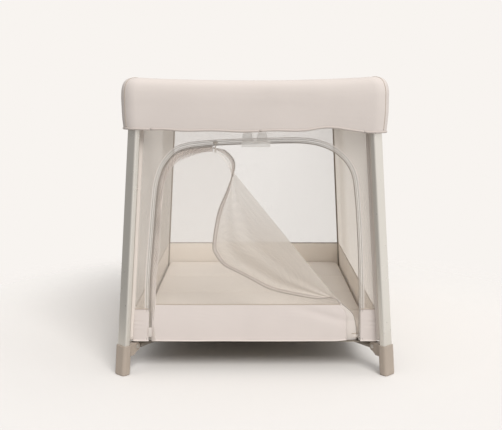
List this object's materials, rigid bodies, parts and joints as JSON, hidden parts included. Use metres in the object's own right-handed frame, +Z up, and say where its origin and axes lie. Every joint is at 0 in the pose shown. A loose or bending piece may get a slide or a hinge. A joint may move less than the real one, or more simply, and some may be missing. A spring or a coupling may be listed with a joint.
{
  "type": "playpen",
  "caption": "Folding playpen with a padded rail cover, net walls with a zipped door flap, splayed metal posts, a folding base and a folding mattress",
  "frame": {"origin": "on the floor, at the centre of the footprint", "axes": "X across the short side, Y along the long side with the zipped door at -Y, Z up"},
  "size_m": [0.7382, 1.0502, 0.775],
  "materials": {
    "leg": "satin",
    "foot": "matte",
    "bracket": "matte",
    "pin": "brushed",
    "base_tube": "satin",
    "rail": "satin",
    "rail_hinge": "matte",
    "button": "matte",
    "floor": "woven",
    "strap": "webbing",
    "cover": "padded woven",
    "mesh": "fine net",
    "zip": "satin",
    "mattress": "woven"
  },
  "bodies": {
    "post_front_left": {"leg_front_left": "leg", "foot_front_left": "foot", "corner_bracket_front_left": "bracket", "post_pins_front_left": "pin", "wall_front": "mesh", "cover_front": "cover"},
    "base_tube_front_left": {"base_tube_front_left": "base_tube", "floor_panel_front_left": "floor"},
    "post_front_right": {"leg_front_right": "leg", "foot_front_right": "foot", "corner_bracket_front_right": "bracket", "post_pins_front_right": "pin"},
    "base_tube_front_right": {"base_tube_front_right": "base_tube", "floor_panel_front_right": "floor"},
    "post_rear_left": {"leg_rear_left": "leg", "foot_rear_left": "foot", "corner_bracket_rear_left": "bracket", "post_pins_rear_left": "pin", "wall_rear": "mesh", "wall_left": "mesh", "cover_rear": "cover", "cover_left": "cover"},
    "base_tube_rear_left": {"base_tube_rear_left": "base_tube", "floor_panel_rear_left": "floor"},
    "post_rear_right": {"leg_rear_right": "leg", "foot_rear_right": "foot", "corner_bracket_rear_right": "bracket", "post_pins_rear_right": "pin", "wall_right": "mesh", "cover_right": "cover"},
    "base_tube_rear_right": {"base_tube_rear_right": "base_tube", "floor_panel_rear_right": "floor"},
    "hub": {"hub": "bracket", "hub_pins": "pin", "hub_foot": "foot", "pull_strap": "strap"},
    "front_rail_left_half": {"front_rail_left_half": "rail"},
    "front_rail_right_half": {"front_rail_right_half": "rail"},
    "front_rail_hinge": {"front_rail_hinge": "rail_hinge"},
    "front_rail_button": {"front_rail_button": "button"},
    "rear_rail_left_half": {"rear_rail_left_half": "rail"},
    "rear_rail_right_half": {"rear_rail_right_half": "rail"},
    "rear_rail_hinge": {"rear_rail_hinge": "rail_hinge"},
    "rear_rail_button": {"rear_rail_button": "button"},
    "left_rail_front_half": {"left_rail_front_half": "rail"},
    "left_rail_rear_half": {"left_rail_rear_half": "rail"},
    "left_rail_hinge": {"left_rail_hinge": "rail_hinge"},
    "left_rail_button": {"left_rail_button": "button"},
    "right_rail_front_half": {"right_rail_front_half": "rail"},
    "right_rail_rear_half": {"right_rail_rear_half": "rail"},
    "right_rail_hinge": {"right_rail_hinge": "rail_hinge"},
    "right_rail_button": {"right_rail_button": "button"},
    "door": {"door_flap": "mesh"},
    "zip_slider": {"zip_slider": "zip"},
    "zip_pull": {"zip_pull": "zip"},
    "mattress_tabs": {"mattress_tabs": "strap"},
    "mattress_panel_1": {"mattress_panel_1": "mattress"},
    "mattress_panel_2": {"mattress_panel_2": "mattress"},
    "mattress_panel_3": {"mattress_panel_3": "mattress"},
    "mattress_panel_4": {"mattress_panel_4": "mattress"}
  },
  "joints": [
    {"name": "fold", "type": "hinge", "parent": "post_rear_left", "child": "base_tube_rear_left", "pos_m": [-0.32172, 0.46696, 0.066], "axis": [-0.8235, -0.5673, 0], "range_deg": [0, 80], "deforming": ["cover_front", "cover_rear", "cover_left", "cover_right", "wall_front", "wall_rear", "wall_left", "wall_right", "door_flap", "zip_slider", "zip_pull", "floor_panel_front_left", "floor_panel_front_right", "floor_panel_rear_left", "floor_panel_rear_right", "pull_strap", "mattress_tabs", "mattress_panel_1", "mattress_panel_2", "mattress_panel_3", "mattress_panel_4"]},
    {"name": "hub_at_rear_left", "type": "hinge", "parent": "base_tube_rear_left", "child": "hub", "pos_m": [-0.0522, 0.07576, 0.066], "axis": [-0.8235, -0.5673, 0], "range_deg": [-80, 0]},
    {"name": "rear_right_tube_at_hub", "type": "hinge", "parent": "hub", "child": "base_tube_rear_right", "pos_m": [0.0522, 0.07576, 0.066], "axis": [-0.8235, 0.5673, 0], "range_deg": [0, 80]},
    {"name": "rear_right_tube_at_foot", "type": "hinge", "parent": "base_tube_rear_right", "child": "post_rear_right", "pos_m": [0.32172, 0.46696, 0.066], "axis": [-0.8235, 0.5673, 0], "range_deg": [-80, 0]},
    {"name": "front_left_tube_at_hub", "type": "hinge", "parent": "hub", "child": "base_tube_front_left", "pos_m": [-0.0522, -0.07576, 0.066], "axis": [0.8235, -0.5673, 0], "range_deg": [0, 80]},
    {"name": "front_left_tube_at_foot", "type": "hinge", "parent": "base_tube_front_left", "child": "post_front_left", "pos_m": [-0.32172, -0.46696, 0.066], "axis": [0.8235, -0.5673, 0], "range_deg": [-80, 0]},
    {"name": "front_right_tube_at_hub", "type": "hinge", "parent": "hub", "child": "base_tube_front_right", "pos_m": [0.0522, -0.07576, 0.066], "axis": [0.8235, 0.5673, 0], "range_deg": [0, 80]},
    {"name": "front_right_tube_at_foot", "type": "hinge", "parent": "base_tube_front_right", "child": "post_front_right", "pos_m": [0.32172, -0.46696, 0.066], "axis": [0.8235, 0.5673, 0], "range_deg": [-80, 0]},
    {"name": "front_rail_left_end", "type": "hinge", "parent": "post_front_left", "child": "front_rail_left_half", "pos_m": [-0.28287, -0.46087, 0.745], "axis": [0, 1, 0], "range_deg": [0, 80]},
    {"name": "front_rail_right_end", "type": "hinge", "parent": "post_front_right", "child": "front_rail_right_half", "pos_m": [0.28287, -0.46087, 0.745], "axis": [0, -1, 0], "range_deg": [0, 80]},
    {"name": "front_rail_middle", "type": "hinge", "parent": "front_rail_left_half", "child": "front_rail_hinge", "pos_m": [-0.01335, -0.46087, 0.745], "axis": [0, 1, 0], "range_deg": [-80, 0]},
    {"name": "front_button_press", "type": "slide", "parent": "front_rail_hinge", "child": "front_rail_button", "axis": [0, 0, 1], "range_m": [0, 0.003]},
    {"name": "rear_rail_left_end", "type": "hinge", "parent": "post_rear_left", "child": "rear_rail_left_half", "pos_m": [-0.28287, 0.46087, 0.745], "axis": [0, 1, 0], "range_deg": [0, 80]},
    {"name": "rear_rail_right_end", "type": "hinge", "parent": "post_rear_right", "child": "rear_rail_right_half", "pos_m": [0.28287, 0.46087, 0.745], "axis": [0, -1, 0], "range_deg": [0, 80]},
    {"name": "rear_rail_middle", "type": "hinge", "parent": "rear_rail_left_half", "child": "rear_rail_hinge", "pos_m": [-0.01335, 0.46087, 0.745], "axis": [0, 1, 0], "range_deg": [-80, 0]},
    {"name": "rear_button_press", "type": "slide", "parent": "rear_rail_hinge", "child": "rear_rail_button", "axis": [0, 0, 1], "range_m": [0, 0.003]},
    {"name": "left_rail_front_end", "type": "hinge", "parent": "post_front_left", "child": "left_rail_front_half", "pos_m": [-0.30487, -0.43887, 0.745], "axis": [-1, 0, 0], "range_deg": [0, 80]},
    {"name": "left_rail_rear_end", "type": "hinge", "parent": "post_rear_left", "child": "left_rail_rear_half", "pos_m": [-0.30487, 0.43887, 0.745], "axis": [1, 0, 0], "range_deg": [0, 80]},
    {"name": "left_rail_middle", "type": "hinge", "parent": "left_rail_rear_half", "child": "left_rail_hinge", "pos_m": [-0.30487, 0.04767, 0.745], "axis": [1, 0, 0], "range_deg": [-80, 0]},
    {"name": "left_button_press", "type": "slide", "parent": "left_rail_hinge", "child": "left_rail_button", "axis": [0, 0, 1], "range_m": [0, 0.003]},
    {"name": "right_rail_front_end", "type": "hinge", "parent": "post_front_right", "child": "right_rail_front_half", "pos_m": [0.30487, -0.43887, 0.745], "axis": [-1, 0, 0], "range_deg": [0, 80]},
    {"name": "right_rail_rear_end", "type": "hinge", "parent": "post_rear_right", "child": "right_rail_rear_half", "pos_m": [0.30487, 0.43887, 0.745], "axis": [1, 0, 0], "range_deg": [0, 80]},
    {"name": "right_rail_middle", "type": "hinge", "parent": "right_rail_rear_half", "child": "right_rail_hinge", "pos_m": [0.30487, 0.04767, 0.745], "axis": [1, 0, 0], "range_deg": [-80, 0]},
    {"name": "right_button_press", "type": "slide", "parent": "right_rail_hinge", "child": "right_rail_button", "axis": [0, 0, 1], "range_m": [0, 0.003]},
    {"name": "door_open", "type": "hinge", "parent": "post_front_left", "child": "door", "pos_m": [0.228, -0.47066, 0.18088], "axis": [-0.6301, 0.0464, 0.7752], "range_deg": [-136, 0]},
    {"name": "zip", "type": "slide", "parent": "post_front_left", "child": "zip_slider", "axis": [1, 0, 0], "range_m": [0, 0.12]},
    {"name": "pull_swing", "type": "hinge", "parent": "zip_slider", "child": "zip_pull", "pos_m": [-0.1025, -0.45345, 0.60537], "axis": [-1, 0, 0], "range_deg": [0, 150]},
    {"name": "mattress_drop", "type": "slide", "parent": "post_rear_left", "child": "mattress_tabs", "axis": [0, 0, 1], "range_m": [-0.0815, 0]},
    {"name": "mattress_lift", "type": "slide", "parent": "mattress_tabs", "child": "mattress_panel_1", "axis": [0, 0, 1], "range_m": [0, 0.72]},
    {"name": "mattress_fold_1", "type": "hinge", "parent": "mattress_panel_1", "child": "mattress_panel_2", "pos_m": [0, -0.23425, 0.1065], "axis": [1, 0, 0], "range_deg": [0, 180]},
    {"name": "mattress_fold_2", "type": "hinge", "parent": "mattress_panel_2", "child": "mattress_panel_3", "pos_m": [0, 0, 0.0855], "axis": [1, 0, 0], "range_deg": [-180, 0]},
    {"name": "mattress_fold_3", "type": "hinge", "parent": "mattress_panel_3", "child": "mattress_panel_4", "pos_m": [0, 0.23425, 0.1065], "axis": [1, 0, 0], "range_deg": [0, 180]}
  ],
  "couplings": [
    {"joint": "hub_at_rear_left", "follows": "fold", "ratio": -1},
    {"joint": "rear_right_tube_at_hub", "follows": "fold", "ratio": 1},
    {"joint": "rear_right_tube_at_foot", "follows": "fold", "ratio": -1},
    {"joint": "front_left_tube_at_hub", "follows": "fold", "ratio": 1},
    {"joint": "front_left_tube_at_foot", "follows": "fold", "ratio": -1},
    {"joint": "front_right_tube_at_hub", "follows": "fold", "ratio": 1},
    {"joint": "front_right_tube_at_foot", "follows": "fold", "ratio": -1},
    {"joint": "front_rail_left_end", "follows": "fold", "ratio": 1},
    {"joint": "front_rail_right_end", "follows": "fold", "ratio": 1},
    {"joint": "front_rail_middle", "follows": "fold", "ratio": -1},
    {"joint": "rear_rail_left_end", "follows": "fold", "ratio": 1},
    {"joint": "rear_rail_right_end", "follows": "fold", "ratio": 1},
    {"joint": "rear_rail_middle", "follows": "fold", "ratio": -1},
    {"joint": "left_rail_front_end", "follows": "fold", "ratio": 1},
    {"joint": "left_rail_rear_end", "follows": "fold", "ratio": 1},
    {"joint": "left_rail_middle", "follows": "fold", "ratio": -1},
    {"joint": "right_rail_front_end", "follows": "fold", "ratio": 1},
    {"joint": "right_rail_rear_end", "follows": "fold", "ratio": 1},
    {"joint": "right_rail_middle", "follows": "fold", "ratio": -1},
    {"joint": "mattress_drop", "follows": "fold", "m_per_rad": -0.058369},
    {"joint": "mattress_fold_1", "follows": "fold", "ratio": 2.25},
    {"joint": "mattress_fold_2", "follows": "fold", "ratio": -2.25},
    {"joint": "mattress_fold_3", "follows": "fold", "ratio": 2.25}
  ]
}
